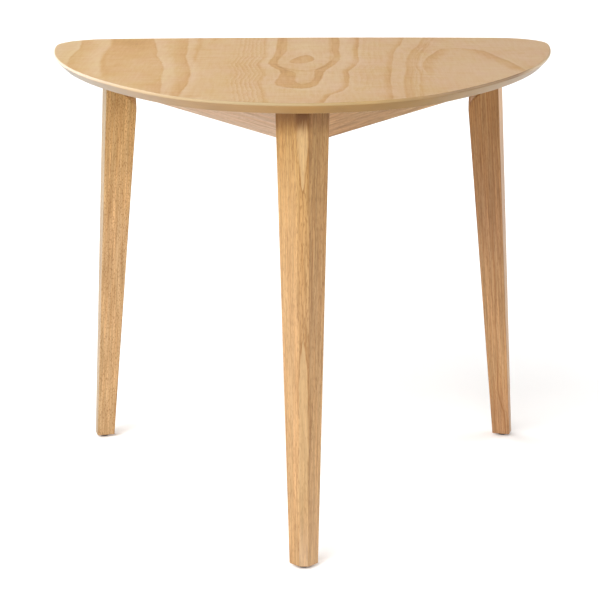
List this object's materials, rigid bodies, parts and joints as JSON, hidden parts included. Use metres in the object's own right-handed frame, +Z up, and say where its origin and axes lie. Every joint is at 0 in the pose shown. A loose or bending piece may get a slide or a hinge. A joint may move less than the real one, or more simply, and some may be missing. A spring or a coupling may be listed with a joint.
{
  "type": "corner table",
  "caption": "Free-standing wooden table with a rounded three-cornered veneered top, a triangular apron frame and splayed, tapered legs turned arris outward, with that arris planed to a narrow flat.",
  "frame": {"origin": "middle of the footprint, on the floor", "axes": "+Z up, the rounded point and its leg towards -Y, the nearly straight back edge towards +Y"},
  "size_m": [0.8998, 0.8306, 0.731],
  "materials": {
    "top_veneer": "satin lacquered rotary-cut veneer",
    "leg_wood": "satin lacquered solid hardwood",
    "apron_wood": "satin lacquered solid hardwood",
    "block_wood": "raw sanded hardwood",
    "zinc_steel": "zinc plated",
    "glide_plastic": "matt moulded plastic"
  },
  "bodies": {
    "root": {"apron_back": "apron_wood", "apron_front_left": "apron_wood", "apron_front_right": "apron_wood", "block_screw_back_left_left_lower": "zinc_steel", "block_screw_back_left_left_upper": "zinc_steel", "block_screw_back_left_right_lower": "zinc_steel", "block_screw_back_left_right_upper": "zinc_steel", "block_screw_back_right_left_lower": "zinc_steel", "block_screw_back_right_left_upper": "zinc_steel", "block_screw_back_right_right_lower": "zinc_steel", "block_screw_back_right_right_upper": "zinc_steel", "block_screw_front_left_lower": "zinc_steel", "block_screw_front_left_upper": "zinc_steel", "block_screw_front_right_lower": "zinc_steel", "block_screw_front_right_upper": "zinc_steel", "corner_block_back_left": "block_wood", "corner_block_back_right": "block_wood", "corner_block_front": "block_wood", "glide_back_left": "glide_plastic", "glide_back_right": "glide_plastic", "glide_front": "glide_plastic", "glide_nail_back_left": "zinc_steel", "glide_nail_back_right": "zinc_steel", "glide_nail_front": "zinc_steel", "hanger_bolt_back_left_lower": "zinc_steel", "hanger_bolt_back_left_upper": "zinc_steel", "hanger_bolt_back_right_lower": "zinc_steel", "hanger_bolt_back_right_upper": "zinc_steel", "hanger_bolt_front_lower": "zinc_steel", "hanger_bolt_front_upper": "zinc_steel", "hanger_nut_back_left_lower": "zinc_steel", "hanger_nut_back_left_upper": "zinc_steel", "hanger_nut_back_right_lower": "zinc_steel", "hanger_nut_back_right_upper": "zinc_steel", "hanger_nut_front_lower": "zinc_steel", "hanger_nut_front_upper": "zinc_steel", "hanger_washer_back_left_lower": "zinc_steel", "hanger_washer_back_left_upper": "zinc_steel", "hanger_washer_back_right_lower": "zinc_steel", "hanger_washer_back_right_upper": "zinc_steel", "hanger_washer_front_lower": "zinc_steel", "hanger_washer_front_upper": "zinc_steel", "leg_back_left": "leg_wood", "leg_back_right": "leg_wood", "leg_front": "leg_wood", "tabletop": "top_veneer", "top_screw_back_left": "zinc_steel", "top_screw_back_right": "zinc_steel", "top_screw_front_left_left": "zinc_steel", "top_screw_front_left_right": "zinc_steel", "top_screw_front_right_left": "zinc_steel", "top_screw_front_right_right": "zinc_steel"}
  },
  "joints": []
}
